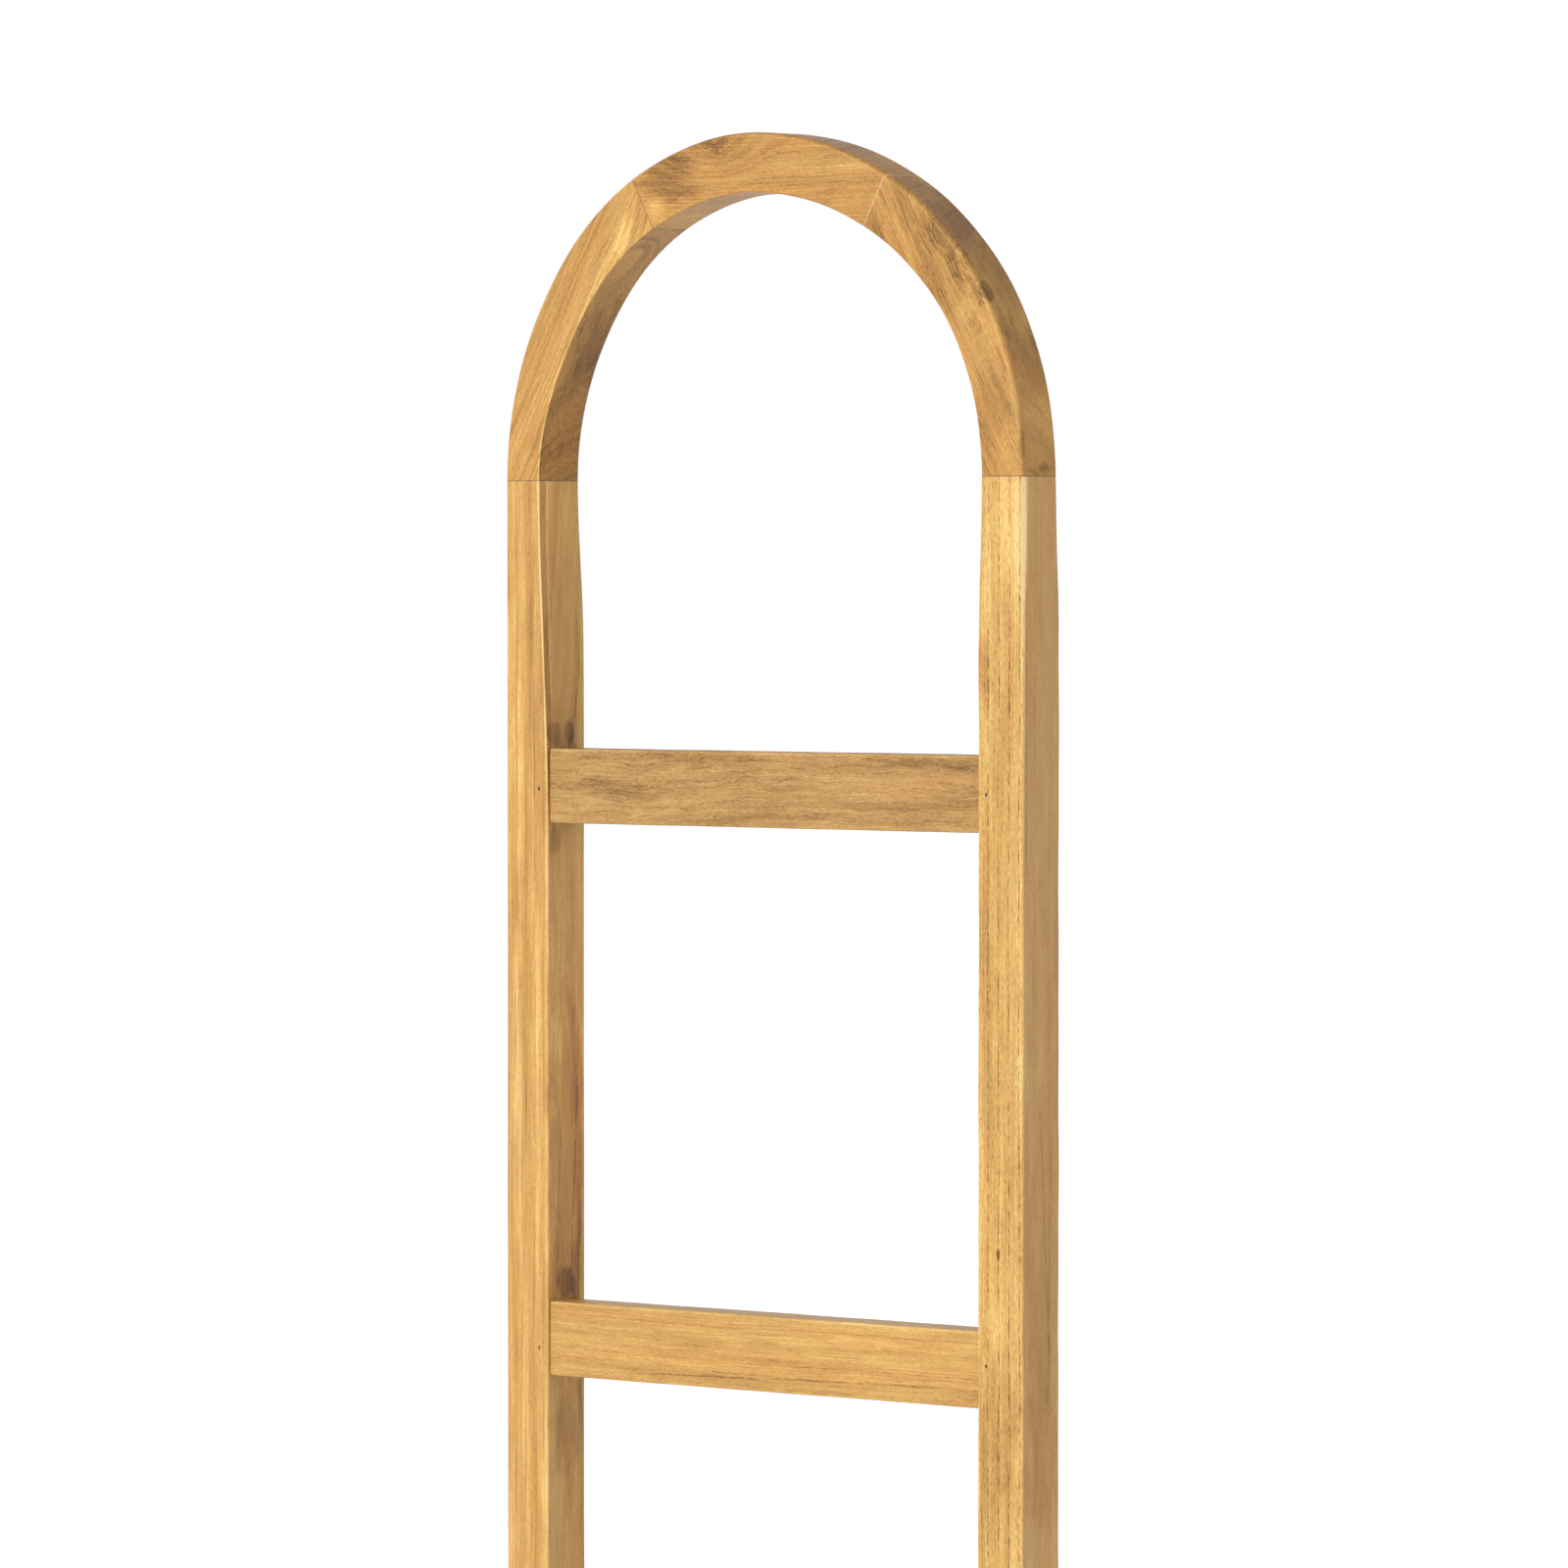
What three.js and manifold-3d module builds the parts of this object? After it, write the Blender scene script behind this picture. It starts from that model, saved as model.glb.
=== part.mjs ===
// An arch-topped teak ladder rack: two stiles, four flat rungs and an arch of three segments.
// The rungs are tenoned into the stiles and pinned with brads from the front. The arch is dowelled
// and glued, butt to butt, on its own joints and on the stiles.
// Millimetres, +Z up, front towards -Y, +X to the right, origin on the floor midway between the feet.
import * as THREE from "three";
import { mergeVertices } from "three/addons/utils/BufferGeometryUtils.js";
import Module from "manifold-3d";

const wasm = await Module();
wasm.setup();

// Whole frame
const WIDTH = 457.2;
const HEIGHT = 1828.8;
const ARCH_R = WIDTH / 2;
const SPRING_Z = HEIGHT - ARCH_R; // the arch's centre, and its joints with the stiles
const ARRIS_R = 3; // round-over on every long edge
const GAP = 0.3; // glue line or running gap between neighbours

// Stiles: square timber that thins on its inner and back faces just below the arch
const STILE_WIDTH = 38;
const STILE_DEPTH = 38;
const NECK_LENGTH = 116;
const FRONT_Y = -STILE_DEPTH / 2; // the flush front plane of stiles and arch
const FOOT_CHAMFER = 1.5;

// Arch: the front plane is flush with the stiles, and the band is widest at the crown
const NECK_WIDTH = 35.5;
const CROWN_WIDTH = 39.5;
const ARCH_DEPTH = 35;
const ARCH_JOINTS = [60.5, 119.5]; // degrees from +X
const ARCH_MID_Y = FRONT_Y + ARCH_DEPTH / 2;

// The arch is shaped by hand: its right haunch is a little flat and its left haunch a little full.
// Each rise is in millimetres, at its angle in degrees, and dies away over its reach either side.
const HAUNCHES = [
  { angle: 68, reach: 42, rise: -3.3 },
  { angle: 128, reach: 23, rise: 1.2 },
];

// Rungs: flat boards, set back a little behind the stiles' front plane
const RUNG_COUNT = 4;
const RUNG_PITCH = 371;
const TOP_RUNG_DROP = 204.5; // from the spring line down to the top rung's centre line
const RUNG_HEIGHT = 50;
const RUNG_DEPTH = 30;
const RUNG_SETBACK = 2.5;
const RUNG_FRONT_Y = FRONT_Y + RUNG_SETBACK;
const RUNG_MID_Y = RUNG_FRONT_Y + RUNG_DEPTH / 2;

// Tenons on the rungs' ends, and the routed mortises that take them
const TENON_THICKNESS = 12;
const TENON_HEIGHT = 36;
const TENON_LENGTH = 25;
const MORTISE_RELIEF = 1; // glue room at the bottom of a mortise or dowel hole

// Dowels: two across each joint of the arch
const DOWEL_D = 8;
const DOWEL_LENGTH = 40;
const DOWEL_CHAMFER = 1;
const DOWEL_SPACING = 16;

// Brads: one through each tenon, driven from the front and sunk under the surface. They are placed
// by eye, so each one sits a little off its rung's centre line.
const BRAD_D = 1.8;
const BRAD_LENGTH = 25;
const BRAD_POINT = 2;
const BRAD_TIP_R = 0.2;
const BRAD_HEAD_CHAMFER = 0.2;
const BRAD_SINK = 1;
const BRAD_INSET = 7.5; // from the stile's inner face
// How far each brad is below its rung's centre line, from the top rung down
const BRAD_DROPS = { left: [2, 6.5, 3, 4.5], right: [0, -3, 1.5, -1] };

const ARCH_STEPS = 16;
const NECK_STEPS = 6;
const ARRIS_STEPS = 3;
const ROUND_STEPS = 16;
const INNER_X = WIDTH / 2 - STILE_WIDTH;
const OVERCUT = 1; // how far a cutter starts outside the face that it cuts
const MERGE_DISTANCE = 1e-4;

const steps = (count) => Array.from({ length: count + 1 }, (_, i) => i / count);
const mix = THREE.MathUtils.lerp;
const ease = (t) => THREE.MathUtils.smoothstep(t, 0, 1);

// Points round a rectangle with rounded corners, anticlockwise in its own (u, v) plane.
function roundedSection(u0, u1, v0, v1, radius) {
  const corners = [
    [u1 - radius, v0 + radius, -90],
    [u1 - radius, v1 - radius, 0],
    [u0 + radius, v1 - radius, 90],
    [u0 + radius, v0 + radius, 180],
  ];
  return corners.flatMap(([u, v, start]) =>
    steps(ARRIS_STEPS).map((t) => {
      const angle = THREE.MathUtils.degToRad(start + 90 * t);
      return [u + radius * Math.cos(angle), v + radius * Math.sin(angle)];
    }),
  );
}

// A closed body through rings of points that run anticlockwise about the direction of travel.
function loft(rings) {
  const count = rings[0].length;
  const last = (rings.length - 1) * count;
  const faces = [];
  for (let ring = 0; ring < last; ring += count) {
    for (let i = 0; i < count; i++) {
      const next = (i + 1) % count;
      faces.push(ring + i, ring + next, ring + count + next);
      faces.push(ring + i, ring + count + next, ring + count + i);
    }
  }
  for (let i = 1; i < count - 1; i++) {
    faces.push(0, i + 1, i);
    faces.push(last, last + i, last + i + 1);
  }
  const points = rings.flat().map(([x, y, z]) => new THREE.Vector3(x, y, z));
  return new THREE.BufferGeometry().setFromPoints(points).setIndex(faces);
}

function solidOf(geometry) {
  const bare = geometry.clone();
  bare.deleteAttribute("normal");
  bare.deleteAttribute("uv");
  const merged = mergeVertices(bare, MERGE_DISTANCE);
  const vertProperties = new Float32Array(merged.attributes.position.array);
  const triVerts = new Uint32Array(merged.index.array);
  return new wasm.Manifold(new wasm.Mesh({ numProp: 3, vertProperties, triVerts }));
}

function geometryOf(solid) {
  const { vertProperties, triVerts } = solid.getMesh();
  const geometry = new THREE.BufferGeometry();
  geometry.setAttribute("position", new THREE.BufferAttribute(vertProperties, 3));
  geometry.setIndex(new THREE.BufferAttribute(triVerts, 1));
  geometry.computeVertexNormals();
  return geometry;
}

function cutAll(geometry, cutters) {
  return cutters.reduce((solid, cutter) => solid.subtract(solidOf(cutter)), solidOf(geometry));
}

// A bar with round top and bottom edges, from x0 to x1: the shape of a tenon, or of the slot
// that a router leaves for it.
function slotBar(thickness, height, x0, x1, centreY, centreZ) {
  const radius = thickness / 2;
  const shape = new THREE.Shape();
  shape.absarc(0, height / 2 - radius, radius, 0, Math.PI, false);
  shape.absarc(0, radius - height / 2, radius, Math.PI, 2 * Math.PI, false);
  const bar = new THREE.ExtrudeGeometry(shape, {
    depth: Math.abs(x1 - x0),
    bevelEnabled: false,
    curveSegments: ROUND_STEPS / 2,
  });
  const axes = [[0, 1, 0], [0, 0, 1], [1, 0, 0]].map((axis) => new THREE.Vector3(...axis));
  bar.applyMatrix4(new THREE.Matrix4().makeBasis(...axes));
  return bar.translate(Math.min(x0, x1), centreY, centreZ);
}

// Where the members run

const rungHeights = steps(RUNG_COUNT - 1).map(
  (t) => SPRING_Z - TOP_RUNG_DROP - t * (RUNG_COUNT - 1) * RUNG_PITCH,
);

const archPoint = (radius, y, angle) => [
  radius * Math.cos(angle),
  y,
  SPRING_Z + radius * Math.sin(angle),
];

// Outer radius of the arch at an angle in radians.
function archRadius(angle) {
  const rises = HAUNCHES.map(({ angle: centre, reach, rise }) => {
    const offset = (THREE.MathUtils.radToDeg(angle) - centre) / reach;
    return Math.abs(offset) < 1 ? rise * Math.cos((offset * Math.PI) / 2) ** 2 : 0;
  });
  return rises.reduce((radius, rise) => radius + rise, ARCH_R);
}

function archWidth(angle) {
  return mix(NECK_WIDTH, CROWN_WIDTH, Math.sin(angle) ** 2);
}

// Every joint of the arch crosses it on a radius. Its two dowels lie along the band.
const archJoints = [0, ...ARCH_JOINTS, 180].map((degrees) => {
  const angle = THREE.MathUtils.degToRad(degrees);
  const along = new THREE.Vector3(-Math.sin(angle), 0, Math.cos(angle));
  const middle = archRadius(angle) - archWidth(angle) / 2;
  const dowels = [-1, 1].map((side) => ({
    place: side < 0 ? "inner" : "outer",
    centre: new THREE.Vector3(
      ...archPoint(middle + (side * DOWEL_SPACING) / 2, ARCH_MID_Y, angle),
    ),
    turn: new THREE.Quaternion().setFromUnitVectors(new THREE.Vector3(0, 1, 0), along),
  }));
  return { angle, dowels };
});

const sides = [
  { name: "left", sign: -1 },
  { name: "right", sign: 1 },
];

const brads = rungHeights.flatMap((height, rung) =>
  sides.map(({ name, sign }) => ({
    name,
    sign,
    rung,
    x: sign * (INNER_X + BRAD_INSET),
    z: height - BRAD_DROPS[name][rung],
  })),
);

// Cutters

function dowelHole({ centre, turn }) {
  const length = DOWEL_LENGTH + 2 * (GAP + MORTISE_RELIEF);
  const hole = new THREE.CylinderGeometry(DOWEL_D / 2 + GAP, DOWEL_D / 2 + GAP, length, ROUND_STEPS);
  return hole.applyQuaternion(turn).translate(centre.x, centre.y, centre.z);
}

function bradHole({ x, z }) {
  const radius = BRAD_D / 2 + GAP;
  const start = FRONT_Y - OVERCUT;
  const end = FRONT_Y + BRAD_SINK + BRAD_LENGTH + GAP;
  const hole = new THREE.CylinderGeometry(radius, radius, end - start, ROUND_STEPS);
  return hole.translate(x, (start + end) / 2, z);
}

function mortise(sign, z) {
  const bottom = INNER_X + TENON_LENGTH + MORTISE_RELIEF;
  return slotBar(
    TENON_THICKNESS + 2 * GAP,
    TENON_HEIGHT + 2 * GAP,
    sign * (INNER_X - OVERCUT),
    sign * bottom,
    RUNG_MID_Y,
    z,
  );
}

// Sub-parts

function archSegment(from, to) {
  const inset = GAP / 2 / ARCH_R;
  const start = from.angle + inset;
  const end = to.angle - inset;
  const rings = steps(ARCH_STEPS).map((t) => {
    const angle = mix(start, end, t);
    const outer = archRadius(angle);
    const inner = outer - archWidth(angle);
    const section = roundedSection(inner, outer, FRONT_Y, FRONT_Y + ARCH_DEPTH, ARRIS_R);
    return section.map(([radius, y]) => archPoint(radius, y, angle));
  });
  return cutAll(loft(rings), [...from.dowels, ...to.dowels].map(dowelHole));
}

// Width and depth of a stile at a distance below the arch.
function stileSize(drop) {
  const share = ease(drop / NECK_LENGTH);
  return [mix(NECK_WIDTH, STILE_WIDTH, share), mix(ARCH_DEPTH, STILE_DEPTH, share)];
}

function stile(sign, joint) {
  const top = SPRING_Z - GAP;
  const neck = steps(NECK_STEPS).map((t) => top - (1 - t) * NECK_LENGTH);
  const foot = [
    { z: 0, inset: FOOT_CHAMFER },
    { z: FOOT_CHAMFER, inset: 0 },
  ];
  const stations = [...foot, ...neck.map((z) => ({ z, inset: 0 }))];
  const rings = stations.map(({ z, inset }) => {
    const [width, depth] = stileSize(top - z);
    const section = roundedSection(
      WIDTH / 2 - width + inset,
      WIDTH / 2 - inset,
      FRONT_Y + inset,
      FRONT_Y + depth - inset,
      ARRIS_R,
    );
    return section.map(([x, y]) => [sign * x, y, z]);
  });
  const travel = sign > 0 ? rings : rings.reverse();
  const cutters = [
    ...rungHeights.map((z) => mortise(sign, z)),
    ...brads.filter((brad) => brad.sign === sign).map(bradHole),
    ...joint.dowels.map(dowelHole),
  ];
  return cutAll(loft(travel), cutters);
}

function rung(index) {
  const z = rungHeights[index];
  const shoulder = INNER_X - GAP;
  const section = roundedSection(
    RUNG_FRONT_Y,
    RUNG_FRONT_Y + RUNG_DEPTH,
    z - RUNG_HEIGHT / 2,
    z + RUNG_HEIGHT / 2,
    ARRIS_R,
  );
  const board = loft([-shoulder, shoulder].map((x) => section.map(([y, height]) => [x, y, height])));
  const tenonEnd = INNER_X + TENON_LENGTH;
  const tenons = slotBar(TENON_THICKNESS, TENON_HEIGHT, -tenonEnd, tenonEnd, RUNG_MID_Y, z);
  const holes = brads.filter((brad) => brad.rung === index).map(bradHole);
  return holes.reduce(
    (solid, hole) => solid.subtract(solidOf(hole)),
    solidOf(board).add(solidOf(tenons)),
  );
}

// A pin turned about its own Y axis, with its two ends chamfered by their own lengths.
function turnedPin(diameter, length, startChamfer, endChamfer, endRadius) {
  const radius = diameter / 2;
  const profile = [
    [0, -length / 2],
    [radius - startChamfer, -length / 2],
    [radius, -length / 2 + startChamfer],
    [radius, length / 2 - endChamfer],
    [endRadius, length / 2],
    [0, length / 2],
  ];
  return new THREE.LatheGeometry(profile.map(([r, y]) => new THREE.Vector2(r, y)), ROUND_STEPS);
}

// Materials

function teak(color) {
  return new THREE.MeshStandardMaterial({ color, roughness: 0.55, metalness: 0 });
}

const stileTeak = teak("#d3a45f");
const archTeak = teak("#c99c5a");
const rungTeak = teak("#bd9864");
const dowelBeech = teak("#cfae7c");
const bradSteel = new THREE.MeshStandardMaterial({ color: "#8a8378", roughness: 0.4, metalness: 1 });

// Assembly

const ladder = new THREE.Group();

function addPart(parent, name, geometry, material) {
  const mesh = new THREE.Mesh(geometry, material);
  mesh.name = name;
  parent.add(mesh);
  return mesh;
}

const arch = new THREE.Group();
["arch_right", "arch_crown", "arch_left"].forEach((name, i) => {
  const segment = archSegment(archJoints[i], archJoints[i + 1]);
  addPart(arch, name, geometryOf(segment), archTeak);
});

const jointNames = ["right_stile", "right_crown", "left_crown", "left_stile"];
archJoints.forEach(({ dowels }, i) => {
  dowels.forEach(({ place, centre, turn }) => {
    const endRadius = DOWEL_D / 2 - DOWEL_CHAMFER;
    const pin = turnedPin(DOWEL_D, DOWEL_LENGTH, DOWEL_CHAMFER, DOWEL_CHAMFER, endRadius);
    const mesh = addPart(arch, `dowel_${jointNames[i]}_${place}`, pin, dowelBeech);
    mesh.position.copy(centre);
    mesh.quaternion.copy(turn);
  });
});
ladder.add(arch);

sides.forEach(({ name, sign }) => {
  const joint = sign > 0 ? archJoints[0] : archJoints[3];
  addPart(ladder, `stile_${name}`, geometryOf(stile(sign, joint)), stileTeak);
});

rungHeights.forEach((z, i) => {
  addPart(ladder, `rung_${i + 1}`, geometryOf(rung(i)), rungTeak);
});

brads.forEach(({ name, rung: index, x, z }) => {
  const pin = turnedPin(BRAD_D, BRAD_LENGTH, BRAD_HEAD_CHAMFER, BRAD_POINT, BRAD_TIP_R);
  const mesh = addPart(ladder, `brad_rung_${index + 1}_${name}`, pin, bradSteel);
  mesh.position.set(x, FRONT_Y + BRAD_SINK + BRAD_LENGTH / 2, z);
});

export default ladder;
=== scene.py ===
"""The looks of an arch-topped teak ladder rack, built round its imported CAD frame."""

import math
from dataclasses import dataclass

import bmesh
import bpy
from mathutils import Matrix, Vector


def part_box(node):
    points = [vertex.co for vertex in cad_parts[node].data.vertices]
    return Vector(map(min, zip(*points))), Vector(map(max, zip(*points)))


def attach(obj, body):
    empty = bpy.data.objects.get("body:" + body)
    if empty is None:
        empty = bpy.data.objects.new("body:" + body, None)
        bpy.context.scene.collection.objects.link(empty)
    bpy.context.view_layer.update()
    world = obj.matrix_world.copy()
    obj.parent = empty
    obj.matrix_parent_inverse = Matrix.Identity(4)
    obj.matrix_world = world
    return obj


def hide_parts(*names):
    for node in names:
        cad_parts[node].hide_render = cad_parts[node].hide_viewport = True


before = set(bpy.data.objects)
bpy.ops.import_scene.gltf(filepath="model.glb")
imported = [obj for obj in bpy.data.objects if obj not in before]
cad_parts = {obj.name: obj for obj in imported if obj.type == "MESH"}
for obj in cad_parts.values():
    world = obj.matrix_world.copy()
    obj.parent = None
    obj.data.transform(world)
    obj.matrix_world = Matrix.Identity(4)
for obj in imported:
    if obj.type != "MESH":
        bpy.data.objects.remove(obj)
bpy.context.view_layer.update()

MM = 0.001

# Places, worked out from the frame
STILE_LOW, STILE_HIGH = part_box("stile_right")
OUTER_X = STILE_HIGH.x
INNER_X = STILE_LOW.x
FRONT_Y = STILE_LOW.y
STILE_BACK_Y = STILE_HIGH.y
ARCH_BACK_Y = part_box("arch_crown")[1].y
GLUE = 0.3 * MM  # the CAD model's glue gap
SPRING_Z = STILE_HIGH.z + GLUE
RUNGS = sorted(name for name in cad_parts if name.startswith("rung_"))
BRADS = sorted(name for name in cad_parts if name.startswith("brad_"))
DOWELS = sorted(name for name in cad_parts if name.startswith("dowel_"))
SIDES = {"left": -1, "right": 1}

# The arch and the stiles' necks, as in the CAD model
ARCH_R = OUTER_X
STILE_WIDTH = OUTER_X - INNER_X
STILE_DEPTH = STILE_BACK_Y - FRONT_Y
ARCH_DEPTH = ARCH_BACK_Y - FRONT_Y
NECK_WIDTH = 35.5 * MM
CROWN_WIDTH = 39.5 * MM
NECK_LENGTH = 116 * MM
JOINT_ANGLES = (0, 60.5, 119.5, 180)
HAUNCHES = ((68, 42, -3.3 * MM), (128, 23, 1.2 * MM))  # angle, reach, rise

# Shape of the surfaces
ARRIS_R = 3 * MM
BACK_PALE = -0.4  # the back arrises are darker than the faces
ARRIS_STEPS = 7
SHARP_ANGLE = math.radians(50)
EDGE_LOOP = 0.5 * MM  # a narrow strip beside each arris that keeps the flat faces flat
FLAT_STEPS = 5
SANDING = 0.22 * MM  # how far hand sanding leaves the faces uneven
SANDING_WAVES = (0.31, 0.137, 0.071)  # metres from crest to crest
SEED_TURN = 90  # radians that one unit of seed turns a wave of one metre
MEMBER_SEED = 1
RUNG_SEED = 10
FRONT_SANDING = 0.5  # the front is this much as uneven as the other faces
JOINT_LINE = 0.5 * MM
SHOULDER_LINE = 0.5 * MM


def ease(value, low, high):
    """0 below low, 1 above high and a smooth step between them."""
    share = min(max((value - low) / (high - low), 0), 1)
    return share * share * (3 - 2 * share)


def mix(first, second, share):
    return first + (second - first) * share


# ---- sections and lofts


@dataclass
class Corner:
    """How a corner is eased: back along a and b, between round (flat 0) and a facet (flat 1)."""

    along_a: float
    along_b: float
    flat: float = 0.0
    # A pale above 0 paints the arris paler: partly a sanded edge, partly a painted highlight.
    pale: float = 0.0  # how much paler than the faces it is


def rounded(radius, pale=0.0):
    return Corner(radius, radius, 0.0, pale)


@dataclass
class Section:
    """A rectangle with eased corners. a runs from the inner face out, b from the front back."""

    inner: float
    outer: float
    front: float
    back: float
    corners: tuple  # outer front, outer back, inner back, inner front
    lean: float = 0.0  # how far the inner face leans out at its front edge

    def draw_in(self, inset):
        self.inner += inset
        self.outer -= inset
        self.front += inset
        self.back -= inset

    def points(self):
        """(a, b, pale, skin) round the section. pale is 0 on the flats and the corner's own value
        on its middle, and skin runs from -1 on the inner face through 0 on the front to 1 on the
        outer."""
        places = (
            (self.outer, self.front, 1, -1, -90),
            (self.outer, self.back, 1, 1, 0),
            (self.inner, self.back, -1, 1, 90),
            (self.inner, self.front, -1, -1, 180),
        )
        arcs = []
        for (a, b, side_a, side_b, start), corner in zip(places, self.corners):
            middle = (a - side_a * corner.along_a, b - side_b * corner.along_b)
            arcs.append(eased_corner(middle, corner, start))
        outline = []
        for arc, following in zip(arcs, arcs[1:] + arcs[:1]):
            outline += arc + flat_points(arc[-1], following[0])
        return [(self.leaning(a, b), b, pale, skin) for a, b, pale, skin in outline]

    def leaning(self, a, b):
        across = (self.outer - a) / (self.outer - self.inner)
        forward = (self.back - b) / (self.back - self.front)
        return a + self.lean * across * forward


def eased_corner(middle, corner, start):
    """The points round one corner, from the face it starts on to the next."""
    arc = []
    for step in range(ARRIS_STEPS + 1):
        turn = step / ARRIS_STEPS
        angle = math.radians(start + 90 * turn)
        first, last = math.radians(start), math.radians(start + 90)
        across = mix(math.cos(first), math.cos(last), turn)
        deep = mix(math.sin(first), math.sin(last), turn)
        arc.append(
            (
                middle[0] + corner.along_a * mix(math.cos(angle), across, corner.flat),
                middle[1] + corner.along_b * mix(math.sin(angle), deep, corner.flat),
                corner.pale * math.sin(math.pi * turn),
                math.cos(angle),
            )
        )
    return arc


def flat_points(start, end):
    """The points along a flat face between two arrises."""
    length = math.dist(start[:2], end[:2])
    shares = [step / FLAT_STEPS for step in range(1, FLAT_STEPS)]
    shares = [EDGE_LOOP / length, *shares, 1 - EDGE_LOOP / length]
    return [(mix(start[0], end[0], s), mix(start[1], end[1], s), 0.0, start[3]) for s in shares]


def tube(name, points, count):
    """A closed mesh through rings of count points each."""
    faces = []
    last = len(points) - count
    for base in range(0, last, count):
        for i in range(count):
            following = (i + 1) % count
            faces.append((base + i, base + following, base + count + following, base + count + i))
    faces.append(tuple(reversed(range(count))))
    faces.append(tuple(range(last, last + count)))
    mesh = bpy.data.meshes.new(name)
    mesh.from_pydata(points, [], faces)
    return mesh


def loft(name, outlines, to_space):
    """A closed mesh through outlines. to_space turns (a, b) on the ring of that number into 3-D."""
    points = []
    for ring, outline in enumerate(outlines):
        points += [to_space(ring, a, b) for a, b, _, _ in outline]
    mesh = tube(name, points, len(outlines[0]))
    for place, attribute in ((2, "arris"), (3, "skin")):
        values = mesh.attributes.new(attribute, "FLOAT", "POINT")
        values.data.foreach_set("value", [point[place] for line in outlines for point in line])
    return finish_mesh(name, mesh)


def add_object(name, data):
    made = bpy.data.objects.new(name, data)
    bpy.context.scene.collection.objects.link(made)
    return made


def finish_mesh(name, mesh):
    """An object for a mesh, shaded smooth, with every face turned outwards."""
    shape = bmesh.new()
    shape.from_mesh(mesh)
    bmesh.ops.recalc_face_normals(shape, faces=shape.faces)
    for face in shape.faces:
        face.smooth = len(face.verts) <= 4
    for edge in shape.edges:
        edge.smooth = edge.calc_face_angle(0) < SHARP_ANGLE
    shape.to_mesh(mesh)
    shape.free()
    return add_object(name, mesh)


def unevenness(distance, seed):
    """What hand sanding leaves, from -1 to 1, at a distance along a member."""
    total = 0
    for length in SANDING_WAVES:
        total += math.sin(math.tau * distance / length + seed * length * SEED_TURN)
    return total / len(SANDING_WAVES)


# ---- stiles and arch


def haunch_rise(angle):
    """How far the arch stands out from a true circle at an angle in radians."""
    total = 0
    for centre, reach, rise in HAUNCHES:
        offset = (math.degrees(angle) - centre) / reach
        if abs(offset) < 1:
            total += rise * math.cos(offset * math.pi / 2) ** 2
    return total


# Front arrises. A pair is the value at the spring line and away from it, and a reach is how far
# from the spring line the change starts and ends, in metres.
# A pale above 0 paints an arris paler than the faces: partly a sanded edge, partly a painted
# highlight where the rounded edge meets the light.
OUTER_ARRIS_R = 2.4 * MM
SOFT_PALE = 0.5
LEFT_INNER_R = (1.0 * MM, 2.0 * MM)
LEFT_INNER_R_REACH = (0.1, 0.3)
LEFT_INNER_PALE = (3.2, 1.0)
LEFT_PALE_REACH_BELOW = (0.15, 0.35)
LEFT_PALE_REACH_ABOVE = (0.02, 0.12)
RIGHT_ARCH_OUTER_R = (1.8 * MM, 3.2 * MM)
RIGHT_ARCH_OUTER_R_REACH = (0.0, 0.06)
RIGHT_ARCH_INNER_R = 2.2 * MM
RIGHT_INNER_R = 1.8 * MM
RIGHT_INNER_PALE = 0.8

# The outer arris that is planed off at the top of the right stile
PLANED_LENGTH = 0.27
PLANED_BACK = (5.2 * MM, 2.2 * MM)
# The planed facet is painted paler: partly raw planed wood, partly a painted highlight where it
# turns to the light.
PLANED_PALE = (2.0, 0.9)
PLANED_FLAT = 0.8

# The inner face of the left neck, sanded back at its front edge
LEAN = 5.4 * MM
LEAN_REACH_ABOVE = (0.0, 0.11)
LEAN_REACH_BELOW = (0.04, 0.23)


def left_front_corners(drop):
    """The outer and inner front corners of the arch's left half and the left stile."""
    radius = mix(*LEFT_INNER_R, ease(abs(drop), *LEFT_INNER_R_REACH))
    below, above = ease(drop, *LEFT_PALE_REACH_BELOW), ease(-drop, *LEFT_PALE_REACH_ABOVE)
    pale = mix(*LEFT_INNER_PALE, max(below, above))
    return rounded(OUTER_ARRIS_R, SOFT_PALE), rounded(radius, pale)


def right_front_corners(drop):
    """The outer and inner front corners of the arch's right half and the right stile."""
    if drop < 0:
        radius = mix(*RIGHT_ARCH_OUTER_R, ease(-drop, *RIGHT_ARCH_OUTER_R_REACH))
        return rounded(radius, SOFT_PALE), rounded(RIGHT_ARCH_INNER_R, SOFT_PALE)
    share = ease(drop, 0.0, PLANED_LENGTH)
    back, pale = mix(*PLANED_BACK, share), mix(*PLANED_PALE, share)
    planed = Corner(OUTER_ARRIS_R, back, PLANED_FLAT * (1 - share), pale)
    return planed, rounded(RIGHT_INNER_R, RIGHT_INNER_PALE)


def inner_lean(side, drop):
    """How far the left neck's inner face was sanded back at its front edge."""
    if side > 0:
        return 0.0
    return LEAN * (1 - ease(-drop, *LEAN_REACH_ABOVE)) * (1 - ease(drop, *LEAN_REACH_BELOW))


def member_section(side, drop, width, depth, outer):
    """The section of a stile or the arch at a drop, the distance below the spring line. On the
    arch the drop is negative. The faces have their hand-sanded unevenness."""
    front_corners = left_front_corners if side < 0 else right_front_corners
    outer_front, inner_front = front_corners(drop)
    back = rounded(ARRIS_R, BACK_PALE)
    shift = [SANDING * unevenness(side * drop, MEMBER_SEED + k) for k in range(4)]
    return Section(
        outer - width + shift[0],
        outer + shift[1],
        FRONT_Y + FRONT_SANDING * shift[2],
        FRONT_Y + depth + shift[3],
        (outer_front, back, back, inner_front),
        inner_lean(side, drop),
    )


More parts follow.
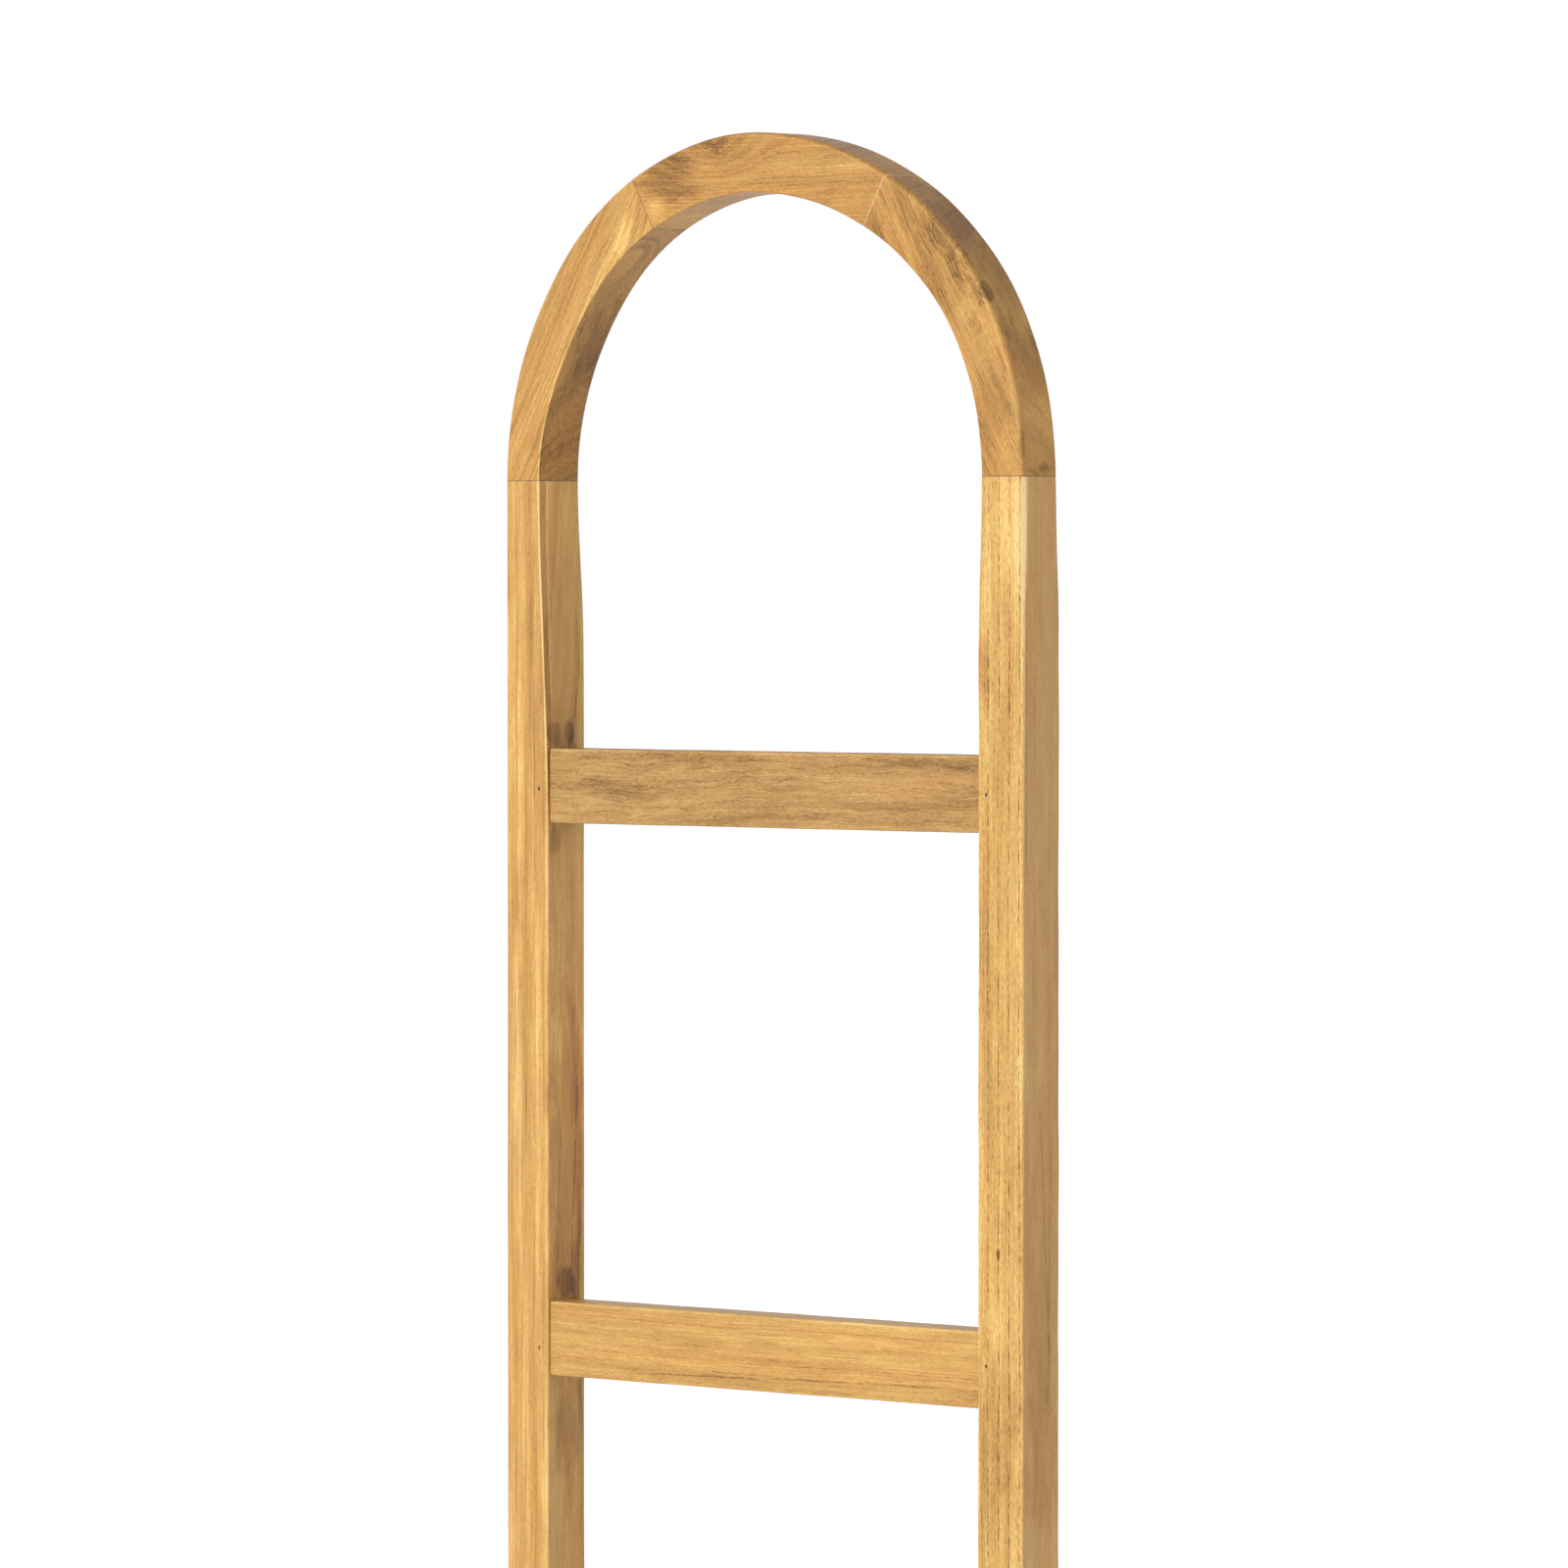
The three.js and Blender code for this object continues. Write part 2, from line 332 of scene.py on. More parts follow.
def stile_sizes(drop):
    """Width and depth of a stile, which thins towards the spring line."""
    share = ease(drop, 0, NECK_LENGTH)
    return mix(NECK_WIDTH, STILE_WIDTH, share), mix(ARCH_DEPTH, STILE_DEPTH, share)


FOOT_ROUND = 1.5 * MM
FOOT_STEPS = 4
STILE_STEP = 12 * MM


def stile_heights():
    """(height, inset) at each ring of a stile, from the rounded foot up."""
    foot = []
    for step in range(FOOT_STEPS):
        angle = math.pi / 2 * step / FOOT_STEPS
        foot.append((FOOT_ROUND * (1 - math.cos(angle)), FOOT_ROUND * (1 - math.sin(angle))))
    top = SPRING_Z - JOINT_LINE / 2
    count = round((top - FOOT_ROUND) / STILE_STEP)
    shaft = [(mix(FOOT_ROUND, top, step / count), 0) for step in range(count + 1)]
    return foot + shaft


def stile(side_name):
    side = SIDES[side_name]
    heights = stile_heights()
    outlines = []
    for height, inset in heights:
        drop = SPRING_Z - height
        width, depth = stile_sizes(drop)
        section = member_section(side, drop, width, depth, OUTER_X)
        section.draw_in(inset)
        outlines.append(section.points())
    return loft(
        f"timber_stile_{side_name}", outlines, lambda ring, a, b: (side * a, b, heights[ring][0])
    )


ARCH_STEP_DEGREES = 1.5
ARCH_MIDDLE_R = ARCH_R - (NECK_WIDTH + CROWN_WIDTH) / 4


def arch_point(radius, y, angle):
    return (radius * math.cos(angle), y, SPRING_Z + radius * math.sin(angle))


def arch_section(angle):
    width = mix(NECK_WIDTH, CROWN_WIDTH, math.sin(angle) ** 2)
    side = 1 if angle < math.pi / 2 else -1
    above = min(angle, math.pi - angle) * ARCH_MIDDLE_R
    return member_section(side, -above, width, ARCH_DEPTH, ARCH_R + haunch_rise(angle))


def arch_piece(name, angles, inset=0.0):
    """A length of the arch through sections at these angles."""
    outlines = []
    for angle in angles:
        section = arch_section(angle)
        section.draw_in(inset)
        outlines.append(section.points())
    return loft(name, outlines, lambda ring, a, b: arch_point(a, b, angles[ring]))


def arch_segment(name, start, end):
    half_line = math.degrees(JOINT_LINE / 2 / ARCH_MIDDLE_R)
    start, end = start + half_line, end - half_line
    count = round((end - start) / ARCH_STEP_DEGREES)
    angles = [math.radians(mix(start, end, step / count)) for step in range(count + 1)]
    return arch_piece(f"timber_{name}", angles)


# ---- rungs

RUNG_STEP = 12 * MM
RUNG_ARRIS_R = 1.8 * MM
# The top front arris is painted paler: partly a sanded edge, partly a painted highlight where the
# top catches the light.
RUNG_PALES = (1.6, 0.0, 0.0, 0.4)  # top front, top back, bottom back, bottom front
RUNG_SANDING = 0.6 * SANDING


def rung_piece(name, rung_name, places, inset=0.0, seed=0.0):
    """A length of a rung through sections at these places along X."""
    low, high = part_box(rung_name)
    outlines = []
    for x in places:
        shift = [RUNG_SANDING * unevenness(x, seed + k) for k in range(4)]
        section = Section(
            low.z + shift[0],
            high.z + shift[1],
            low.y + shift[2],
            high.y + shift[3],
            tuple(rounded(RUNG_ARRIS_R, pale) for pale in RUNG_PALES),
        )
        section.draw_in(inset)
        outlines.append(section.points())
    return loft(name, outlines, lambda ring, a, b: (places[ring], b, a))


def rung(name):
    end = INNER_X - SHOULDER_LINE
    count = round(2 * end / RUNG_STEP)
    places = [mix(-end, end, step / count) for step in range(count + 1)]
    return rung_piece(f"timber_{name}", name, places, seed=RUNG_SEED + RUNGS.index(name))


# ---- glue lines, partly painted shade at the rung shoulders, and filler


def arch_glue(name, degrees, inset):
    """The glue line between two segments of the arch, or the arch and a stile."""
    half_line = math.degrees(JOINT_LINE / 2 / ARCH_MIDDLE_R)
    angles = [math.radians(degrees - half_line), math.radians(degrees + half_line)]
    return arch_piece(f"glue_{name}", angles, inset)


def shoulder_glue_and_shade(rung_name, side_name, inset):
    """The glue line between a rung's shoulder and its stile, which also stands for painted shade in
    the shoulder gap.
    """
    side = SIDES[side_name]
    places = [side * (INNER_X - SHOULDER_LINE), side * (INNER_X + GLUE)]
    return rung_piece(f"glue_{rung_name}_{side_name}", rung_name, places, inset)


PLUG_RADII = (0.85 * MM, 1.35 * MM)  # across and along the stile
PLUG_RINGS = ((0.02, 0.02), (0.45, 0.05), (0.8, 0.11), (1, 0.04), (1, -0.6))  # share, mm proud
PLUG_SIDES = 20
PLUG_SEED = 3


def brad_plug(brad_name):
    """The spot of filler over a sunk brad, a little dished and a little uneven."""
    low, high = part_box(brad_name)
    centre = (low + high) / 2
    seed = PLUG_SEED + BRADS.index(brad_name)
    name = brad_name.replace("brad_", "filler_")
    points = []
    for share, proud in PLUG_RINGS:
        for side in range(PLUG_SIDES):
            angle = math.tau * side / PLUG_SIDES
            lumps = 1 + 0.14 * math.sin(3 * angle + seed) + 0.08 * math.sin(5 * angle + 2 * seed)
            across = PLUG_RADII[0] * share * lumps * math.cos(angle)
            along = PLUG_RADII[1] * share * lumps * math.sin(angle)
            points.append((centre.x + across, FRONT_Y - proud * MM, centre.z + along))
    return finish_mesh(name, tube(name, points, PLUG_SIDES))


# ---- material nodes

# Noise lies mostly within 0.3 of its middle, and the gain stretches that to about -1 to 1
NOISE_MIDDLE = 0.5
NOISE_GAIN = 3.5


class Tree:
    """One material's nodes, made by short calls that hand back output sockets."""

    MIX_COLOUR = (6, 7, 2)  # the Mix node's two colour inputs and its colour output

    def __init__(self, name):
        self.material = bpy.data.materials.new(name)
        self.material.use_nodes = True
        self.tree = self.material.node_tree
        self.shader = self.tree.nodes["Principled BSDF"]

    def add(self, kind, inputs, output=0, **settings):
        made = self.tree.nodes.new(kind)
        for key, value in settings.items():
            setattr(made, key, value)
        for key, value in inputs.items():
            self.feed(made.inputs[key], value)
        return made.outputs[output]

    def feed(self, socket, value):
        if isinstance(value, bpy.types.NodeSocket):
            self.tree.links.new(value, socket)
        else:
            socket.default_value = value

    def look(self, values):
        """Links or sets the shader's own sockets, by name."""
        for name, value in values.items():
            self.feed(self.shader.inputs[name], value)

    def math(self, operation, *values):
        return self.add("ShaderNodeMath", dict(enumerate(values)), operation=operation)

    def vector(self, operation, *values):
        output = "Value" if operation in ("DOT_PRODUCT", "LENGTH") else "Vector"
        return self.add("ShaderNodeVectorMath", dict(enumerate(values)), output, operation=operation)

    def chain(self, operation, values):
        result = values[0]
        for value in values[1:]:
            result = self.math(operation, result, value)
        return result

    def total(self, *values):
        return self.chain("ADD", values)

    def product(self, *values):
        return self.chain("MULTIPLY", values)

    def place(self):
        """Where a point of the object is, in metres."""
        return self.add("ShaderNodeTexCoord", {}, "Object")

    def noise(self, vector, detail=2.0, roughness=0.5, output="Fac"):
        inputs = {"Vector": vector, "Scale": 1.0, "Detail": detail, "Roughness": roughness}
        return self.add("ShaderNodeTexNoise", inputs, output)

    def signed_noise(self, vector, detail=2.0, roughness=0.5):
        """Noise about zero, mostly from -1 to 1."""
        centred = self.math("SUBTRACT", self.noise(vector, detail, roughness), NOISE_MIDDLE)
        return self.product(centred, NOISE_GAIN)

    def local_noise(self, sizes, detail=2.0, roughness=0.5):
        """Noise fixed to the object, with spots of so many millimetres along X, Y and Z."""
        units = tuple(size * MM for size in sizes)
        return self.noise(self.vector("DIVIDE", self.place(), units), detail, roughness)

    def stretched(self, vector, along, across, around=None):
        """The vector measured in units of so many millimetres each way."""
        around = across if around is None else around
        return self.vector("DIVIDE", vector, (along, across, around))

    def smooth(self, value, low, high, to_low=0.0, to_high=1.0):
        """A smooth step from to_low, where the value is low, to to_high."""
        inputs = {"Value": value, "From Min": low, "From Max": high}
        inputs |= {"To Min": to_low, "To Max": to_high}
        return self.add("ShaderNodeMapRange", inputs, interpolation_type="SMOOTHSTEP")

    def tinted(self, factor, colour, tint):
        """The colour multiplied by a tint, as far as the factor says."""
        first, second, output = self.MIX_COLOUR
        inputs = {0: factor, first: colour, second: (*tint, 1)}
        return self.add("ShaderNodeMix", inputs, output, data_type="RGBA", blend_type="MULTIPLY")

    def ramp(self, factor, stops):
        """A colour for each value of factor, through stops of a place and a colour."""
        socket = self.add("ShaderNodeValToRGB", {"Fac": factor})
        band = socket.node.color_ramp
        while len(band.elements) < len(stops):
            band.elements.new(1.0)
        for element, (place, colour) in zip(band.elements, stops):
            element.position = place
            element.color = (*colour, 1)
        return socket


# ---- what teak is made of

# Teak from deep brown latewood to the palest arrises, by tone; a pale arris is partly a sanded edge
# and partly a painted highlight
TEAK_TONES = (
    (0.00, (0.078, 0.031, 0.004)),
    (0.22, (0.190, 0.092, 0.016)),
    (0.45, (0.336, 0.181, 0.045)),
    (0.62, (0.420, 0.243, 0.068)),
    (0.80, (0.525, 0.345, 0.112)),
    (1.00, (0.690, 0.520, 0.250)),
)
WARM_TINT = (1.04, 0.90, 0.80)  # turns a stripe from yellow to orange
# A pale arris is partly a sanded edge and partly a painted highlight.
ARRIS_PALE_AND_HIGHLIGHT = 0.16  # how much paler an arris with a pale of 1 is

# Sizes of the marks, in millimetres along the grain and across it
WANDER_SIZE = (210, 70)
FLOW_SIZE = (34, 12)
DRIFT_SIZE = (280, 40)
MOTTLE_SIZE = (38, 8)
FIBRE_SIZE = (75, 0.95)
SPECKLE_SIZE = (3.2, 0.9)
DASH_SIZE = (9, 1.4)  # the pores in a row
PORE_SIZE = (5, 0.5)  # the pores between the rows
FADE_SIZE = (70, 14)  # the patches where the latewood lines fade
CURL_SIZE = (13, 6)  # the curly veins of a knot
STRIPE_LENGTH = 260

# The noise where a mark starts, and where it is full
DASH_NOISE = (0.42, 0.60)
PORE_NOISE = (0.56, 0.78)
FADE_NOISE = (0.34, 0.62)
GAP_NOISE = (0.35, 0.50)
CURL_WIDTH = 0.24  # of signed noise, either side of zero

# Growth rings
BAND_START, HUE_START = 3.0, 41.0  # different places in the noise
HUE_RINGS = 1.7  # the width of a stripe of one hue, in rings
HUE_REACH = 0.9  # signed noise for the full hue
LATE_START, LATE_PEAK = 0.70, 0.96  # of a ring's width
LATE_LEAST, LATE_SPREAD = 0.3, 0.9  # how dark a ring's line is at least, and how much by chance
ROW_PLACE = 0.5  # where in a ring the row of pores is
ROW_HALF_WIDTH = 0.32  # millimetres
ROW_SPREAD = 0.3  # from the rings without a row to those with a full one

# Knots
CURLS_SHOW = (0.05, 0.4)  # how near a knot the curly veins start and are full
KNOTTY_BANDS, KNOTTY_LINES = 0.5, 0.8  # how much stronger the rings are beside a knot

# Veins
VEIN_WAVE = 16  # millimetres
VEIN_WAVER = 0.5  # millimetres
VEIN_CORE = 0.3  # the share of the width that has the full tone
VEIN_ENDS = 0.15  # the share of the length that fades at each end
GAP_SIZE = 7  # millimetres

# The skin attribute where the faces beside the front begin
FACE_TURN = (0.3, 0.9)
GRAIN_TURN = (0.7, 1.0)
SIDE_PORES = 2.5  # the power of the side grain's strength that the pores have

# Oiled surface
ROUGHNESS = 0.46
PORE_ROUGHNESS, FIBRE_ROUGHNESS = 0.9, 0.03
PORE_DEPTH, LATE_DEPTH, FIBRE_HEIGHT = 2.2, 0.25, 0.15  # in units of the bump's distance
BUMP_STRENGTH, BUMP_DISTANCE = 0.35, 0.15 * MM
SHINE = 0.32

SEED_STEPS = (131.7, 57.3, 23.9)  # how far apart two members are in the noise, in millimetres


@dataclass
class Blotch:
    """A place where the wood is darker or lighter, round a point in metres."""

    centre: tuple
    reach: tuple  # millimetres along X, Y and Z
    tone: float
    ragged: float = 0.35  # how uneven its edge is, as a share of the reach
    core: float = 0.25  # the share of the reach that has the full tone


@dataclass
class Knot:
    """A place where the growth rings swell round a point in metres."""

    centre: tuple
    reach: tuple  # along the grain and both ways across it, millimetres
    swell: float  # how far the rings are pushed out, millimetres
    tone: float
    curl: float = 0.0  # how dark its curly veins are


@dataclass
class Vein:
    """A line or a narrow strip that is darker or paler, between two points in metres."""

    start: tuple
    end: tuple
    width: float  # millimetres either side of its middle
    tone: float
    broken: float = 0.65  # how far it fades where it is broken
    across: tuple = (0, 1, 0)  # unit vector across the line, in the face it shows on


@dataclass
class Timber:
    """How one member was sawn from its log, and how strongly each feature shows."""

    along: tuple  # unit vector along the grain
    out: tuple  # unit vector across the growth rings
    middle: tuple  # a point in the member, metres
    seed: float
    pith: tuple = (-150.0, 30.0)  # from the middle, across and along the rings, millimetres
    ring: float = 6.0  # ring width, millimetres
    tone: float = 0.55
    wander: float = 2.2  # how far the grain wanders across, millimetres
    bands: float = 0.20  # broad soft stripes
    hues: float = 0.8  # how much the stripes turn from yellow to orange
    lines: float = 0.16  # thin dark latewood lines
    rows: float = 0.30  # rows of dark pores, one to a ring
    skipped: float = 0.25  # share of the rings that have no row, if above 0
    pores: float = 0.22  # pores scattered everywhere
    fibre: float = 0.15  # long thin streaks
    speckle: float = 0.12  # short fine flecks
    mottle: float = 0.10  # soft patches a few rings wide
    drift: float = 0.07  # slow change along the whole member
    flow: float = 0.5  # how far the fibres waver, millimetres
    # inner_tone_and_shading and outer_tone_and_shading lighten or darken the faces either side of
    # the front, and side_tint_and_shading colours them: partly the wood's own tone there, partly
    # painted light and shade on faces turned from the key.
    inner_tone_and_shading: float = 0.0  # added on the inner face
    outer_tone_and_shading: float = 0.0  # added on the outer face
    side_grain: float = 0.8  # strength of the grain on the inner and outer faces
    side_tint_and_shading: tuple = (1.0, 1.0, 1.0)
    tint: tuple = (1.0, 1.0, 1.0)
    blotches: tuple = ()
    knots: tuple = ()
    veins: tuple = ()


def wood_axes(timber):
    """Unit vectors along the grain, across the rings and along the rings."""
    along, out = Vector(timber.along).normalized(), Vector(timber.out).normalized()
    return along, out, along.cross(out)


def wood_position(tree, timber):
    """Position in millimetres from the member's middle, along each of the wood's axes."""
    offset = tree.vector("SUBTRACT", tree.place(), timber.middle)
    parts = [tree.vector("DOT_PRODUCT", offset, tuple(axis / MM)) for axis in wood_axes(timber)]
    return tree.add("ShaderNodeCombineXYZ", dict(enumerate(parts)))


def to_wood(timber, point):
    """The same as wood_position, for a point known in advance."""
    offset = (Vector(point) - Vector(timber.middle)) / MM
    return tuple(offset.dot(axis) for axis in wood_axes(timber))


def waver(tree, vector, size, reach):
    """A slow sideways shift of the grain, up to about reach millimetres."""
    shift = tree.noise(tree.stretched(vector, *size), detail=1.0, output="Color")
    shift = tree.vector("SUBTRACT", shift, (NOISE_MIDDLE,) * 3)
    return tree.vector("MULTIPLY", shift, (0, NOISE_GAIN * reach, NOISE_GAIN * reach))


def ring_distance(tree, timber, bent):
    """Distance from the pith in millimetres, pushed out round each knot, the tone there, and how
    near a knot is, from 0 to 1."""
    from_pith = tree.vector("SUBTRACT", bent, (0, *timber.pith))
    ring = tree.vector("LENGTH", tree.vector("MULTIPLY", from_pith, (0, 1, 1)))
    tone, nearest = timber.tone, 0.0
    if timber.knots:
        curly = tree.signed_noise(tree.stretched(bent, *CURL_SIZE), roughness=0.6)
        curly = tree.smooth(tree.math("ABSOLUTE", curly), 0.0, CURL_WIDTH, 1.0, 0.0)
    for knot in timber.knots:
        away = tree.vector("SUBTRACT", bent, to_wood(timber, knot.centre))
        away = tree.vector("LENGTH", tree.stretched(away, *knot.reach))
        near = tree.smooth(away, 0.0, 1.0, 1.0, 0.0)
        ring = tree.math("MULTIPLY_ADD", near, knot.swell, ring)
        tone = tree.math("MULTIPLY_ADD", near, knot.tone, tone)
        curls = tree.product(curly, tree.smooth(near, *CURLS_SHOW, 0.0, -knot.curl))
        tone = tree.total(curls, tone)
        nearest = tree.math("MAXIMUM", nearest, near)
    return ring, tone, nearest


def ring_stripes(tree, timber, ring, grain, width, start):
    """Soft stripes that follow the rings, from -1 to 1."""
    length = tree.add("ShaderNodeSeparateXYZ", {0: grain}, 0)
    across = tree.math("MULTIPLY_ADD", ring, 1 / width, start + timber.seed)
    down = tree.product(length, 1 / STRIPE_LENGTH)
    vector = tree.add("ShaderNodeCombineXYZ", {0: across, 1: down})
    return tree.signed_noise(vector, detail=3.0, roughness=0.6)


def latewood_lines(tree, phase, chance, grain):
    """The dark line near the end of each ring, fading here and there."""
    fading = tree.smooth(tree.noise(tree.stretched(grain, *FADE_SIZE), detail=1.0), *FADE_NOISE)
    rise, fall = tree.smooth(phase, LATE_START, LATE_PEAK), tree.smooth(phase, LATE_PEAK, 1, 1, 0)
    darkness = tree.math("MULTIPLY_ADD", chance, LATE_SPREAD, LATE_LEAST)
    return tree.product(rise, fall, darkness, fading)


def ring_marks(tree, timber, ring, grain):
    """The dark latewood line of each ring, and where its row of pores lies."""
    turns = tree.math("DIVIDE", ring, timber.ring)
    phase = tree.math("FRACT", turns)
    number = tree.math("FLOOR", turns)
    chance = tree.add("ShaderNodeTexWhiteNoise", {"W": number}, noise_dimensions="1D")
    half = ROW_HALF_WIDTH / timber.ring
    away = tree.math("ABSOLUTE", tree.math("SUBTRACT", phase, ROW_PLACE))
    row = tree.smooth(away, half, 2 * half, 1, 0)
    chosen = tree.smooth(chance, timber.skipped, timber.skipped + ROW_SPREAD)
    return latewood_lines(tree, phase, chance, grain), tree.product(row, chosen)


def ring_figure(tree, timber, ring, knotty, grain):
    """Stripes of tone and of hue, dark lines, and where the rows of pores are. Knots strengthen
    the stripes of tone and the lines."""
    bands = ring_stripes(tree, timber, ring, grain, timber.ring, BAND_START)
    hues = ring_stripes(tree, timber, ring, grain, HUE_RINGS * timber.ring, HUE_START)
    late, row = ring_marks(tree, timber, ring, grain)
    bands = tree.product(bands, tree.math("MULTIPLY_ADD", knotty, KNOTTY_BANDS, 1.0))
    late = tree.product(late, tree.math("MULTIPLY_ADD", knotty, KNOTTY_LINES, 1.0))
    return bands, hues, late, row


def pore_marks(tree, timber, grain, row):
    """Dashes in the rows of pores, and finer pores everywhere."""
    dashes = tree.noise(tree.stretched(grain, *DASH_SIZE), detail=3.0, roughness=0.7)
    fine = tree.noise(tree.stretched(grain, *PORE_SIZE), detail=1.0)
    pores = tree.product(tree.smooth(dashes, *DASH_NOISE), row, timber.rows)
    return tree.math("MULTIPLY_ADD", tree.smooth(fine, *PORE_NOISE), timber.pores, pores)


def blotch_tones(tree, timber, ragged):
    """How much each blotch darkens or lightens the wood."""
    place = tree.place()
    tones = []
    for blotch in timber.blotches:
        away = tree.vector("SUBTRACT", place, blotch.centre)
        away = tree.vector("DIVIDE", away, tuple(Vector(blotch.reach) * MM))
        away = tree.vector("LENGTH", away)
        away = tree.math("MULTIPLY_ADD", ragged, blotch.ragged, away)
        tones.append(tree.smooth(away, blotch.core, 1.0, blotch.tone, 0.0))
    return tones


def vein_tone(tree, vein):
    """How much a vein darkens or lightens the wood. It wavers a little and fades in and out."""
    run = Vector(vein.end) - Vector(vein.start)
    offset = tree.vector("SUBTRACT", tree.place(), vein.start)
    share = tree.vector("DOT_PRODUCT", offset, tuple(run / run.length_squared))
    across = Vector(vein.across) - run * run.dot(Vector(vein.across)) / run.length_squared
    side = tree.vector("DOT_PRODUCT", offset, tuple(across.normalized() / MM))
    waves = tree.vector("DIVIDE", tree.place(), (VEIN_WAVE * MM,) * 3)
    side = tree.total(side, tree.product(tree.signed_noise(waves, detail=1.0), VEIN_WAVER))
    line = tree.smooth(tree.math("ABSOLUTE", side), VEIN_CORE * vein.width, vein.width, 1.0, 0.0)
    first = tree.smooth(share, 0.0, VEIN_ENDS)
    last = tree.smooth(share, 1 - VEIN_ENDS, 1.0, 1.0, 0.0)
    gaps = tree.local_noise((GAP_SIZE,) * 3, detail=1.0)
    gaps = tree.smooth(gaps, *GAP_NOISE, 1.0 - vein.broken, 1.0)
    return tree.product(line, first, last, gaps, vein.tone)


def face_tones_with_painted_light(tree, timber, skin):
    """The tone of the inner and outer faces beside the front, partly the wood's own and partly
    painted shade, and of the paler arrises, partly a sanded edge and partly a painted highlight.
    """
    arris = tree.add("ShaderNodeAttribute", {}, "Fac", attribute_name="arris")
    low, high = FACE_TURN
    return [
        tree.smooth(skin, -high, -low, timber.inner_tone_and_shading, 0.0),
        tree.smooth(skin, low, high, 0.0, timber.outer_tone_and_shading),
        tree.product(arris, ARRIS_PALE_AND_HIGHLIGHT),
    ]


def wood_colour(tree, timber, tone, hues, beside):
    """The colour of each tone, orange in some stripes and tinted on the sides, partly as painted
    shade.
    """
    stops = []
    for place, shade in TEAK_TONES:
        stops.append((place, tuple(part * share for part, share in zip(shade, timber.tint))))
    colour = tree.ramp(tone, stops)
    warm = tree.smooth(hues, -HUE_REACH, HUE_REACH, 0.0, timber.hues)
    return tree.tinted(beside, tree.tinted(warm, colour, WARM_TINT), timber.side_tint_and_shading)


def oiled_surface(tree, pores, open_pores, late, fibre):
    """The soft shine of oiled wood, rougher in the pores, which are sunk a little."""
    roughness = tree.math("MULTIPLY_ADD", pores, PORE_ROUGHNESS, ROUGHNESS)
    height = tree.total(
        tree.product(open_pores, -PORE_DEPTH),
        tree.product(late, -LATE_DEPTH),
        tree.product(fibre, FIBRE_HEIGHT),
    )
    bump = {"Strength": BUMP_STRENGTH, "Distance": BUMP_DISTANCE, "Height": height}
    return {
        "Roughness": tree.math("MULTIPLY_ADD", fibre, FIBRE_ROUGHNESS, roughness),
        "Normal": tree.add("ShaderNodeBump", bump),
        "Specular IOR Level": SHINE,
    }


def teak(name, timber):
    """Solid teak: growth rings, pores and fibre that run through the member as they were sawn."""
    tree = Tree(name)
    straight = wood_position(tree, timber)
    seeded = tree.vector("ADD", straight, tuple(timber.seed * step for step in SEED_STEPS))
    bend = waver(tree, seeded, WANDER_SIZE, timber.wander)
    bend = tree.vector("ADD", bend, waver(tree, seeded, FLOW_SIZE, timber.flow))
    grain = tree.vector("ADD", seeded, bend)

    ring, tone, knotty = ring_distance(tree, timber, tree.vector("ADD", straight, bend))
    bands, hues, late, row = ring_figure(tree, timber, ring, knotty, grain)
    pores = pore_marks(tree, timber, grain, row)
    fibre = tree.signed_noise(tree.stretched(grain, *FIBRE_SIZE), detail=3.0, roughness=0.6)
    speckle = tree.signed_noise(tree.stretched(grain, *SPECKLE_SIZE), detail=1.0)
    mottle = tree.signed_noise(tree.stretched(grain, *MOTTLE_SIZE), detail=3.0, roughness=0.6)
    drift = tree.signed_noise(tree.stretched(seeded, *DRIFT_SIZE), detail=1.0)

    skin = tree.add("ShaderNodeAttribute", {}, "Fac", attribute_name="skin")
    beside = tree.smooth(tree.math("ABSOLUTE", skin), *GRAIN_TURN)
    strength = tree.math("MULTIPLY_ADD", beside, timber.side_grain - 1, 1.0)
    open_pores = tree.product(pores, tree.math("POWER", strength, SIDE_PORES))
    figure = tree.total(
        tree.product(bands, timber.bands),
        tree.product(fibre, timber.fibre),
        tree.product(speckle, timber.speckle),
        tree.product(mottle, timber.mottle),
        tree.product(late, -timber.lines),
    )
    figure = tree.math("SUBTRACT", figure, open_pores)
    parts = [tree.product(figure, strength), tree.product(drift, timber.drift)]
    parts += blotch_tones(tree, timber, mottle)
    parts += [vein_tone(tree, vein) for vein in timber.veins]
    parts += face_tones_with_painted_light(tree, timber, skin)

    colour = wood_colour(tree, timber, tree.total(tone, *parts), hues, beside)
    tree.look({"Base Color": colour, **oiled_surface(tree, pores, open_pores, late, fibre)})
    return tree.material


# ---- glue, filler, beech and steel


def glue(name, dark, light):
    """Dried glue, with a little wood dust in it. The dark glue in the rung shoulders also stands for
    painted shade in the gap.
    """
    tree = Tree(name)
    patches = tree.local_noise((3, 3, 3), detail=3.0, roughness=0.6)
    colour = tree.ramp(tree.smooth(patches, 0.35, 0.65), ((0, dark), (1, light)))
    roughness = tree.math("MULTIPLY_ADD", patches, 0.3, 0.35)
    tree.look({"Base Color": colour, "Roughness": roughness})
    return tree.material


def filler():
    """Dark wood filler over a brad."""
    tree = Tree("brad_filler")
    specks = tree.local_noise((0.5, 0.5, 0.5), detail=3.0, roughness=0.7)
    colour = tree.ramp(specks, ((0.3, (0.022, 0.010, 0.004)), (0.7, (0.080, 0.036, 0.013))))
    bump = tree.add("ShaderNodeBump", {"Strength": 0.5, "Distance": 0.1 * MM, "Height": specks})
    tree.look({"Base Color": colour, "Normal": bump, "Roughness": 0.7, "Specular IOR Level": 0.2})
    return tree.material


